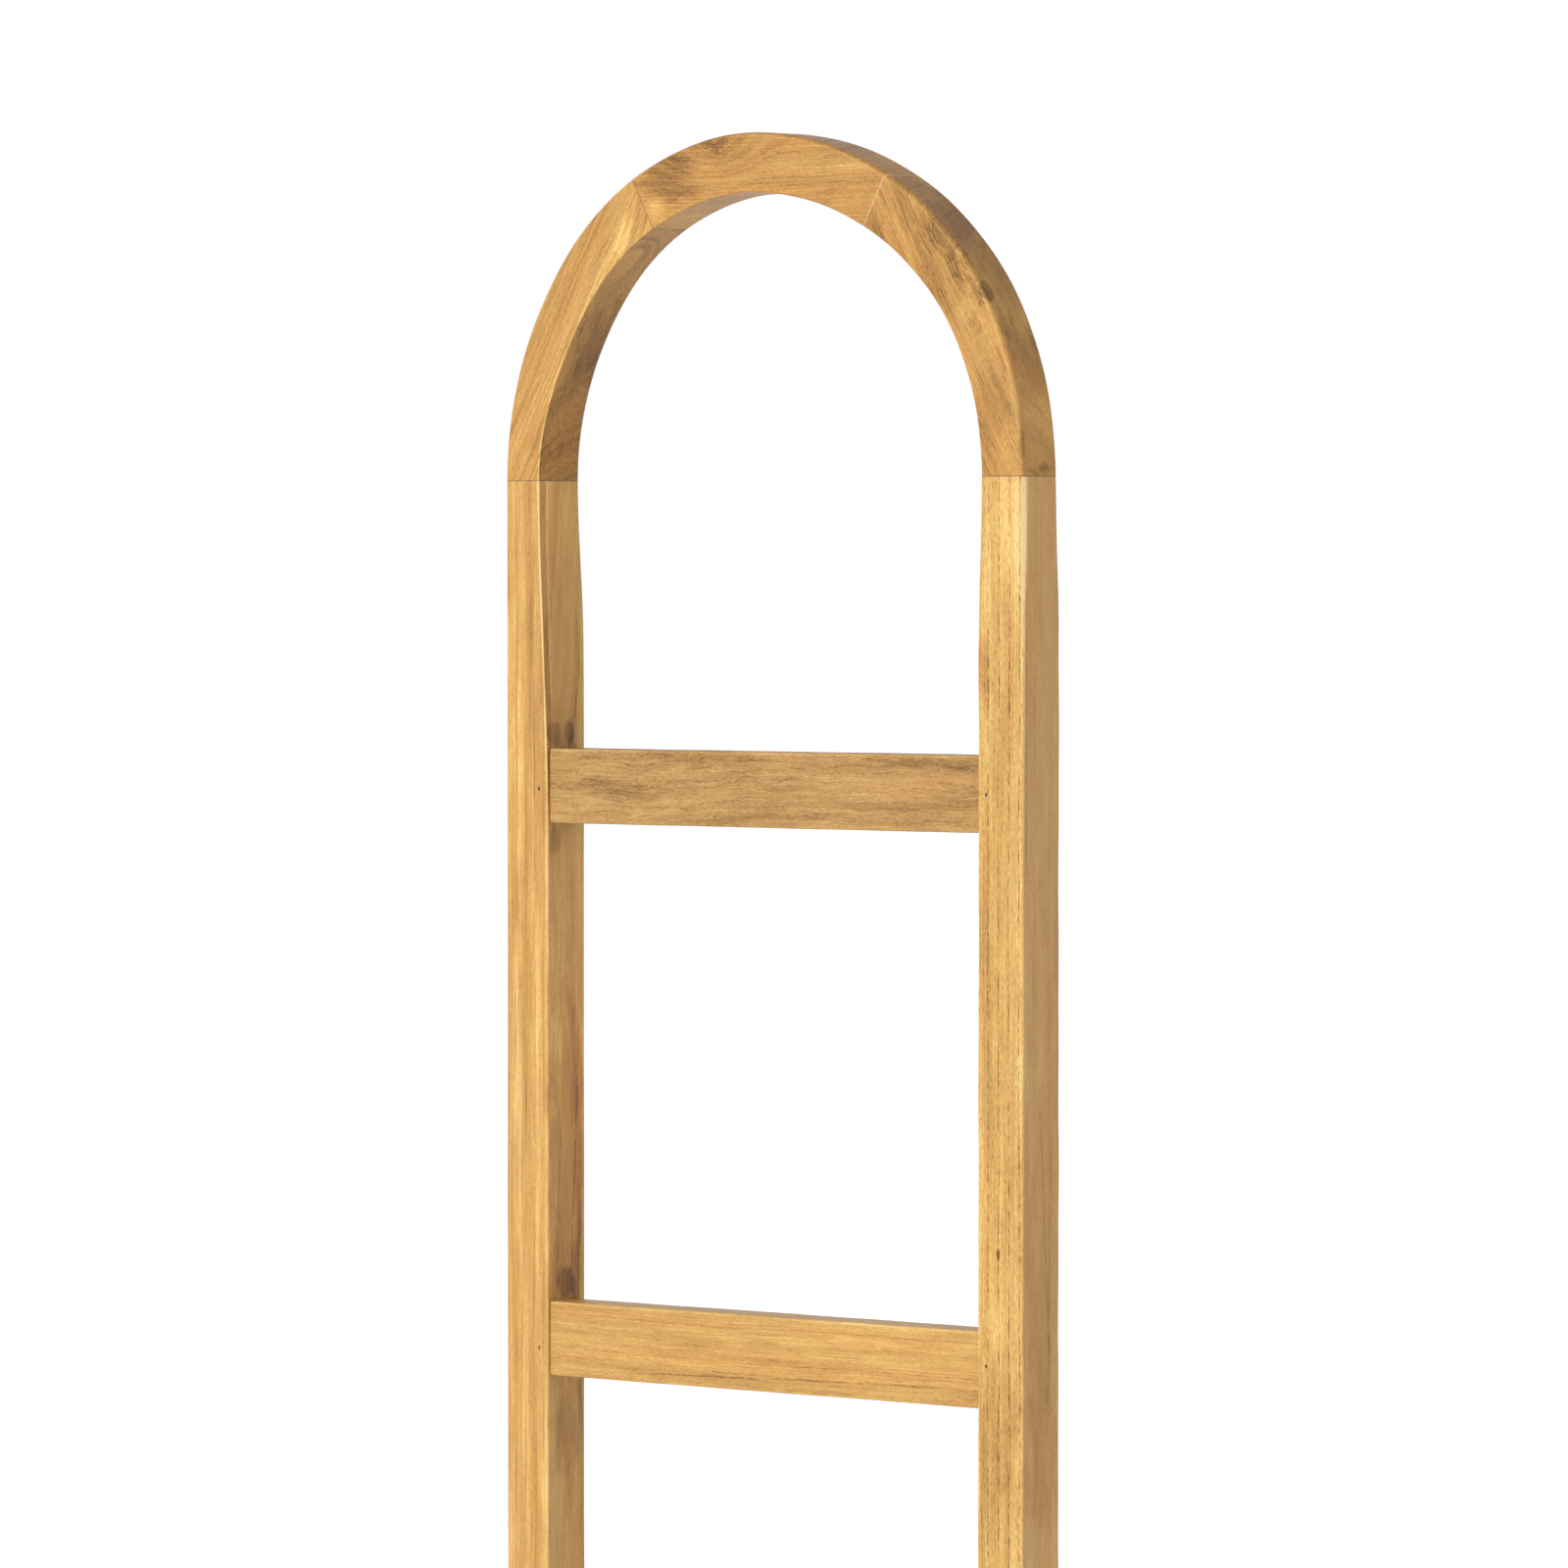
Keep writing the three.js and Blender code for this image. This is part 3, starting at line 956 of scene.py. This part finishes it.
def beech():
    """The dowels' pale beech, flecked along their length."""
    tree = Tree("beech_dowel")
    flecks = tree.local_noise((0.8, 0.8, 5), detail=3.0, roughness=0.6)
    colour = tree.ramp(flecks, ((0.3, (0.50, 0.33, 0.17)), (0.7, (0.68, 0.50, 0.29))))
    roughness = tree.math("MULTIPLY_ADD", flecks, 0.2, 0.5)
    tree.look({"Base Color": colour, "Roughness": roughness})
    return tree.material


def brad_steel():
    """Drawn steel with fine marks along the brad."""
    tree = Tree("brad_steel")
    marks = tree.local_noise((0.2, 4, 0.2), roughness=0.6)
    colour = tree.ramp(marks, ((0.3, (0.32, 0.31, 0.29)), (0.7, (0.52, 0.50, 0.47))))
    roughness = tree.math("MULTIPLY_ADD", marks, 0.3, 0.25)
    tree.look({"Base Color": colour, "Roughness": roughness, "Metallic": 1.0})
    return tree.material


# ---- how each member was sawn

# Marks are placed in millimetres, by height above the eye or by angle and radius on the arch
EYE_Z = SPRING_Z - 65.4 * MM  # the camera's height


def on_arch(degrees, radius_mm, y_mm):
    return arch_point(radius_mm * MM, y_mm * MM, math.radians(degrees))


def on_front(x_mm, above_mm):
    return (x_mm * MM, FRONT_Y, EYE_Z + above_mm * MM)


def left_inner(y_mm, above_mm):
    return (-INNER_X, y_mm * MM, EYE_Z + above_mm * MM)


def right_outer(y_mm, above_mm):
    return (OUTER_X, y_mm * MM, EYE_Z + above_mm * MM)


def rung_centre(name):
    low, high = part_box(name)
    return tuple((low + high) / 2)


UP, ACROSS = (0, 0, 1), (1, 0, 0)


def arch_axes(start, end):
    """The grain runs along a segment's chord, and the rings lie across its middle radius."""
    angle = math.radians((start + end) / 2)
    along = (-math.sin(angle), 0, math.cos(angle))
    out = (math.cos(angle), 0, math.sin(angle))
    return along, out, arch_point(ARCH_MIDDLE_R, 0, angle)


def left_stile_timber(middle):
    return Timber(
        along=UP,
        out=(0.92, 0.39, 0),
        middle=middle,
        seed=1.3,
        pith=(-120, 25),
        ring=8.0,
        tone=0.60,
        bands=0.26,
        hues=1.0,
        lines=0.22,
        rows=0.10,
        pores=0.10,
        speckle=0.09,
        # The inner face is a little lighter and bluer: partly the wood, partly painted cool fill
        # light.
        inner_tone_and_shading=0.04,
        side_tint_and_shading=(1.0, 1.0, 1.06),
        tint=(1.0, 1.0, 0.98),
        veins=(
            Vein(left_inner(-15.4, 90), left_inner(-16, -150), 3.4, -0.15, 0.1),
            Vein(left_inner(-11.6, 86), left_inner(-13.0, -100), 0.8, 0.22, 0.4),
            Vein(left_inner(12, -70), left_inner(5, -114), 1.0, -0.22),
            Vein(left_inner(12, -300), left_inner(4, -480), 1.3, -0.20),
            Vein(left_inner(-6, -360), left_inner(-10, -480), 1.2, -0.16),
        ),
        blotches=(
            Blotch(left_inner(-12, -104), (4, 9, 10), -0.17, 0.25, 0.7),
            Blotch(left_inner(3, -104), (4, 5.5, 12), -0.32, 0.25, 0.5),
            Blotch(left_inner(0, -62), (4, 24, 56), 0.12),
            Blotch(left_inner(-15, 10), (4, 6, 9), -0.20, 0.6),
            Blotch(left_inner(2, 12), (4, 8, 9), -0.16, 0.6),
            Blotch((-191.6 * MM, 0, EYE_Z + 45 * MM), (5, 24, 50), 0.10),
            Blotch(left_inner(-11, -176), (4, 7, 12), -0.20, 0.3, 0.5),
            Blotch(left_inner(-2, -474), (4, 10, 13), -0.26, 0.4, 0.6),
            Blotch(left_inner(2, -400), (4, 30, 155), -0.21, 0.4),
            Blotch(left_inner(2, -575), (5, 22, 46), -0.16, 0.5),
            Blotch(on_front(-212, -500), (30, 8, 230), 0.05),
        ),
    )


def right_stile_timber(middle):
    return Timber(
        along=UP,
        out=(0.94, 0.34, 0),
        middle=middle,
        seed=4.1,
        pith=(-176.1, -40),
        ring=7.9,
        tone=0.655,
        wander=0.8,
        flow=0.3,
        bands=0.16,
        hues=0.35,
        lines=0.06,
        rows=0.42,
        skipped=-0.4,
        pores=0.30,
        speckle=0.14,
        side_grain=0.45,
        # The outer face is tinted blue: partly the wood, partly painted cool shade on the face
        # turned from the key.
        side_tint_and_shading=(1.0, 0.99, 1.20),
        tint=(1.0, 1.0, 0.95),
        veins=(
            Vein(right_outer(-15, 15), right_outer(-15, -215), 0.8, -0.22),
            Vein(right_outer(-2, -330), right_outer(9, -520), 1.4, -0.15),
            Vein(right_outer(10, -340), right_outer(6, -560), 1.2, -0.15),
        ),
        blotches=(
            Blotch(on_front(221, 40), (16, 9, 85), 0.17, 0.2),
            Blotch(on_front(197, 20), (10, 6, 90), 0.06),
            Blotch(on_front(197, -62), (12, 6, 32), -0.16),
            Blotch(on_front(208.5, -434.5), (2.0, 3, 5.0), -0.60),
            Blotch(on_front(206, -555), (26, 6, 80), -0.13, 0.25),
            Blotch(right_outer(2, -560), (6, 22, 60), -0.08, 0.5),
            Blotch(right_outer(2, -400), (5, 26, 300), -0.09),
        ),
    )


def stile_timber(side_name):
    middle = (SIDES[side_name] * (OUTER_X + INNER_X) / 2, 0, EYE_Z)
    return left_stile_timber(middle) if side_name == "left" else right_stile_timber(middle)


def left_arch_timber(common):
    return Timber(
        **common,
        seed=7.7,
        pith=(-160, 20),
        ring=7.5,
        tone=0.50,
        bands=0.25,
        pores=0.15,
        fibre=0.18,
        mottle=0.07,
        hues=1.0,
        lines=0.16,
        rows=0.14,
        # The underside is darker: partly the wood, partly painted shade under the arch.
        inner_tone_and_shading=-0.16,
        side_tint_and_shading=(1.0, 0.97, 0.92),
        tint=(1.0, 1.0, 0.96),
        knots=(Knot(on_arch(127, 192, -6), (60, 22, 30), 14, -0.02),),
        blotches=(
            Blotch(on_arch(178, 208, -19), (12, 8, 22), 0.12),
            Blotch(on_arch(126, 200, -17), (20, 8, 20), 0.12),
            Blotch(on_arch(150, 192, 4), (28, 28, 46), -0.14),
        ),
    )


def right_arch_timber(common):
    return Timber(
        **common,
        seed=2.9,
        pith=(-140, -30),
        ring=6.5,
        tone=0.50,
        bands=0.16,
        pores=0.13,
        mottle=0.07,
        hues=1.0,
        lines=0.18,
        rows=0.14,
        # The top face is a little darker: partly the wood, partly painted shade.
        outer_tone_and_shading=-0.03,
        side_tint_and_shading=(1.0, 0.99, 0.93),
        tint=(1.0, 1.0, 0.95),
        knots=(
            Knot(on_arch(45, 219, -18), (19, 13, 12), 7, -0.07, 0.13),
            Knot(on_arch(38, 221, -18), (20, 13, 12), 7, -0.12, 0.15),
            Knot(on_arch(31.5, 225, -17), (14, 11, 12), 7, -0.07, 0.16),
        ),
        blotches=(
            Blotch(on_arch(30.5, 227, -15), (8, 10, 9), -0.10, 0.9),
            Blotch(on_arch(31, 211, -19), (9, 7, 11), 0.16),
            Blotch(on_arch(4.0, 227.5, -18), (2.6, 4, 15), -0.22, 0.5),
            Blotch(on_arch(1.2, 228.6, 2), (3, 9, 5), -0.20, 0.7),
            Blotch(on_arch(44, 229, 4), (100, 44, 92), -0.20),
            Blotch(on_arch(8, 228.6, 0), (14, 26, 34), 0.12),
            Blotch(on_arch(13, 209, -19), (20, 8, 44), -0.12),
            Blotch(on_arch(20, 228.6, 2), (18, 28, 48), -0.16),
        ),
    )


def crown_timber(common):
    return Timber(
        **common,
        seed=5.2,
        pith=(-170, 20),
        ring=5.0,
        tone=0.51,
        bands=0.11,
        hues=1.0,
        lines=0.12,
        rows=0.12,
        pores=0.09,
        mottle=0.07,
        # The underside and top are darker and the sides yellower: partly the wood, partly painted
        # shade.
        inner_tone_and_shading=-0.05,
        outer_tone_and_shading=-0.17,
        side_tint_and_shading=(1.0, 0.98, 0.74),
        tint=(1.0, 0.99, 0.93),
        knots=(
            Knot(on_arch(100, 229, -19), (62, 40, 40), 46, -0.10),
            Knot(on_arch(100, 225, -17), (17, 12, 11), 6, -0.04, 0.14),
        ),
        blotches=(
            Blotch(on_arch(112, 214, -19), (34, 9, 26), -0.25, 0.3),
            Blotch(on_arch(116.5, 202, -17), (13, 8, 12), 0.20),
            Blotch(on_arch(80, 212, -19), (30, 9, 12), 0.05),
            Blotch(on_arch(116, 190, 0), (20, 24, 14), 0.12),
        ),
    )


# From the right, as JOINT_ANGLES has them
ARCH_TIMBERS = {
    "arch_right": right_arch_timber,
    "arch_crown": crown_timber,
    "arch_left": left_arch_timber,
}


def arch_timber(name, start, end):
    along, out, middle = arch_axes(start, end)
    return ARCH_TIMBERS[name]({"along": along, "out": out, "middle": middle})


def grey_rung_timber(name):
    x, y, z = rung_centre(name)
    return Timber(
        along=ACROSS,
        out=(0, 0.35, 0.94),
        middle=(x, y, z),
        seed=3.4,
        pith=(60, 12),
        ring=7.0,
        tone=0.44,
        wander=5.0,
        flow=2.0,
        bands=0.14,
        hues=0.5,
        lines=0.08,
        rows=0.10,
        pores=0.18,
        fibre=0.17,
        speckle=0.12,
        mottle=0.09,
        # The top face is darker: partly the wood, partly painted shade.
        outer_tone_and_shading=-0.10,
        tint=(0.955, 1.0, 1.18),
        blotches=(
            Blotch((-0.13, FRONT_Y, z - 2 * MM), (55, 9, 17), -0.10),
            Blotch((-0.06, FRONT_Y, z + 21 * MM), (90, 9, 12), -0.12),
            Blotch((0.10, FRONT_Y, z + 4 * MM), (70, 9, 12), 0.08, 0.6),
            Blotch((0.15, FRONT_Y, z + 20 * MM), (60, 9, 8), -0.10),
        ),
    )


def golden_rung_timber(name, seed):
    x, y, z = rung_centre(name)
    return Timber(
        along=ACROSS,
        out=(0, 0.30, 0.95),
        middle=(x, y, z),
        seed=seed,
        pith=(90, 25),
        ring=7.5,
        tone=0.58,
        wander=2.0,
        bands=0.15,
        hues=0.6,
        lines=0.08,
        rows=0.14,
        speckle=0.09,
        # The top face is darker: partly the wood, partly painted shade.
        outer_tone_and_shading=-0.06,
        tint=(1.0, 1.0, 0.96),
        veins=(
            Vein((-0.12, y, z - 19 * MM), (0.18, y, z - 12.5 * MM), 0.9, -0.24, across=UP),
            Vein((-0.05, y, z - 14 * MM), (0.06, y, z - 15 * MM), 0.7, -0.16, across=UP),
        ),
    )


GOLDEN_SEED = 5.6


def rung_timber(name):
    index = RUNGS.index(name)
    return golden_rung_timber(name, GOLDEN_SEED + index) if index else grey_rung_timber(name)


# ---- the pieces in place


def place(piece, material, slot, *nodes):
    """Gives a piece its material and body, and hides the CAD nodes it replaces."""
    piece.data.materials.append(material)
    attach(piece, "root")
    if nodes:
        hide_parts(*nodes)


def build_timbers():
    for side_name in SIDES:
        node = f"stile_{side_name}"
        place(stile(side_name), teak(f"teak_{node}", stile_timber(side_name)), "teak_stile", node)
    for node, start, end in zip(ARCH_TIMBERS, JOINT_ANGLES, JOINT_ANGLES[1:]):
        timber = arch_timber(node, start, end)
        place(arch_segment(node, start, end), teak(f"teak_{node}", timber), "teak_arch", node)
    for node in RUNGS:
        place(rung(node), teak(f"teak_{node}", rung_timber(node)), "teak_rung", node)


GLUE_SUNK = 0.05 * MM  # how far a dark glue line lies below the faces
SHOULDER_SUNK = 0.25 * MM


def build_glue_and_filler():
    dark_glue_and_shade = glue("glue_dark_and_shade", (0.060, 0.030, 0.014), (0.160, 0.085, 0.036))
    pale_glue = glue("glue_pale", (0.420, 0.270, 0.110), (0.580, 0.400, 0.180))
    joints = (
        ("right_stile", dark_glue_and_shade, GLUE_SUNK),
        ("right_crown", pale_glue, 0),
        ("left_crown", dark_glue_and_shade, GLUE_SUNK),
        ("left_stile", dark_glue_and_shade, GLUE_SUNK),
    )
    for (name, material, inset), degrees in zip(joints, JOINT_ANGLES):
        place(arch_glue(name, degrees, inset), material, "teak_arch")
    # The dark film in each rung shoulder is partly a glue line and partly painted shade in the gap.
    for rung_name in RUNGS:
        for side_name in SIDES:
            place(shoulder_glue_and_shade(rung_name, side_name, SHOULDER_SUNK), dark_glue_and_shade, "teak_rung")
    dark_filler = filler()
    for brad_name in BRADS:
        place(brad_plug(brad_name), dark_filler, "teak_stile")


def dress_frame_nodes():
    """The dowels and brads stay as they are in the frame, inside the timber."""
    for names, material in ((DOWELS, beech()), (BRADS, brad_steel())):
        for name in names:
            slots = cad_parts[name].data.materials
            slots.clear()
            slots.append(material)


# ---- floor, light and camera

FLOOR_R = 300.0
FLOOR_SIDES = 96
FLOOR_Z = -0.2 * MM  # just clear of the feet
FLOOR_GREY = 0.86
FLOOR_GLOW = 0.25  # keeps the shaded floor pale


def build_floor():
    points = []
    for side in range(FLOOR_SIDES):
        angle = math.tau * side / FLOOR_SIDES
        points.append((FLOOR_R * math.cos(angle), FLOOR_R * math.sin(angle), FLOOR_Z))
    mesh = bpy.data.meshes.new("floor")
    mesh.from_pydata(points, [], [tuple(range(FLOOR_SIDES))])
    floor = add_object("floor", mesh)
    tree = Tree("floor_white")
    grey = (FLOOR_GREY, FLOOR_GREY, FLOOR_GREY, 1)
    tree.look({"Base Color": grey, "Roughness": 0.9, "Specular IOR Level": 0.0})
    tree.look({"Emission Color": (1, 1, 1, 1), "Emission Strength": FLOOR_GLOW})
    floor.data.materials.append(tree.material)


ROOM_COLOUR = (1, 1, 1.04, 1)
CEILING = {"From Min": 0.3, "From Max": 1.0, "To Min": 1.0, "To Max": 0.6}  # upwards: strength
KEY_STRENGTH = 0.82 * math.pi
KEY_COLOUR = (1, 0.99, 0.92)
KEY_SPREAD = math.radians(28)
KEY_AZIMUTH = math.radians(-8)  # from the front, towards the right
KEY_ELEVATION = math.radians(16)


def build_room():
    """A white room with a dimmer ceiling."""
    world = bpy.data.worlds.new("studio")
    bpy.context.scene.world = world
    world.use_nodes = True
    nodes, links = world.node_tree.nodes, world.node_tree.links
    direction = nodes.new("ShaderNodeTexCoord")
    height = nodes.new("ShaderNodeSeparateXYZ")
    links.new(direction.outputs["Generated"], height.inputs[0])
    fade = nodes.new("ShaderNodeMapRange")
    fade.interpolation_type = "SMOOTHSTEP"
    for key, value in CEILING.items():
        fade.inputs[key].default_value = value
    links.new(height.outputs["Z"], fade.inputs["Value"])
    links.new(fade.outputs[0], nodes["Background"].inputs["Strength"])
    nodes["Background"].inputs["Color"].default_value = ROOM_COLOUR
    bpy.context.scene.view_settings.view_transform = "Standard"


def build_key_light():
    """One broad soft light from the front."""
    lamp = bpy.data.lights.new("key", "SUN")
    lamp.energy = KEY_STRENGTH
    lamp.color = KEY_COLOUR
    lamp.angle = KEY_SPREAD
    key = add_object("key", lamp)
    level = math.cos(KEY_ELEVATION)
    right, back = level * math.sin(KEY_AZIMUTH), -level * math.cos(KEY_AZIMUTH)
    towards = Vector((right, back, math.sin(KEY_ELEVATION)))
    key.rotation_mode = "QUATERNION"
    key.rotation_quaternion = towards.to_track_quat("Z", "Y")


CAMERA_AZIMUTH = math.radians(42.05)
CAMERA_DISTANCE = 6.194
CAMERA_PITCH = math.radians(-1.2525)
CAMERA_PAN = 4.5 * MM  # the line of sight passes this far to the right of the ladder's middle
CAMERA_LENS = 216.1  # millimetres, as is the sensor
CAMERA_SENSOR = 36.0
CAMERA_CLIP = 1000


def build_camera():
    """The photograph's viewing angle, from the right of the front."""
    sight = Vector((-math.sin(CAMERA_AZIMUTH), math.cos(CAMERA_AZIMUTH), 0))
    right = Vector((math.cos(CAMERA_AZIMUTH), math.sin(CAMERA_AZIMUTH), 0))
    eye = -sight * CAMERA_DISTANCE + Vector((0, 0, EYE_Z))
    drop = CAMERA_DISTANCE * math.tan(CAMERA_PITCH)
    aim = right * CAMERA_PAN + Vector((0, 0, EYE_Z + drop))
    data = bpy.data.cameras.new("camera")
    data.lens = CAMERA_LENS
    data.sensor_width = CAMERA_SENSOR
    data.clip_end = CAMERA_CLIP
    camera = add_object("camera", data)
    camera.location = eye
    camera.rotation_mode = "QUATERNION"
    camera.rotation_quaternion = (aim - eye).to_track_quat("-Z", "Y")
    bpy.context.scene.camera = camera


build_timbers()
build_glue_and_filler()
dress_frame_nodes()
build_floor()
build_room()
build_key_light()
build_camera()
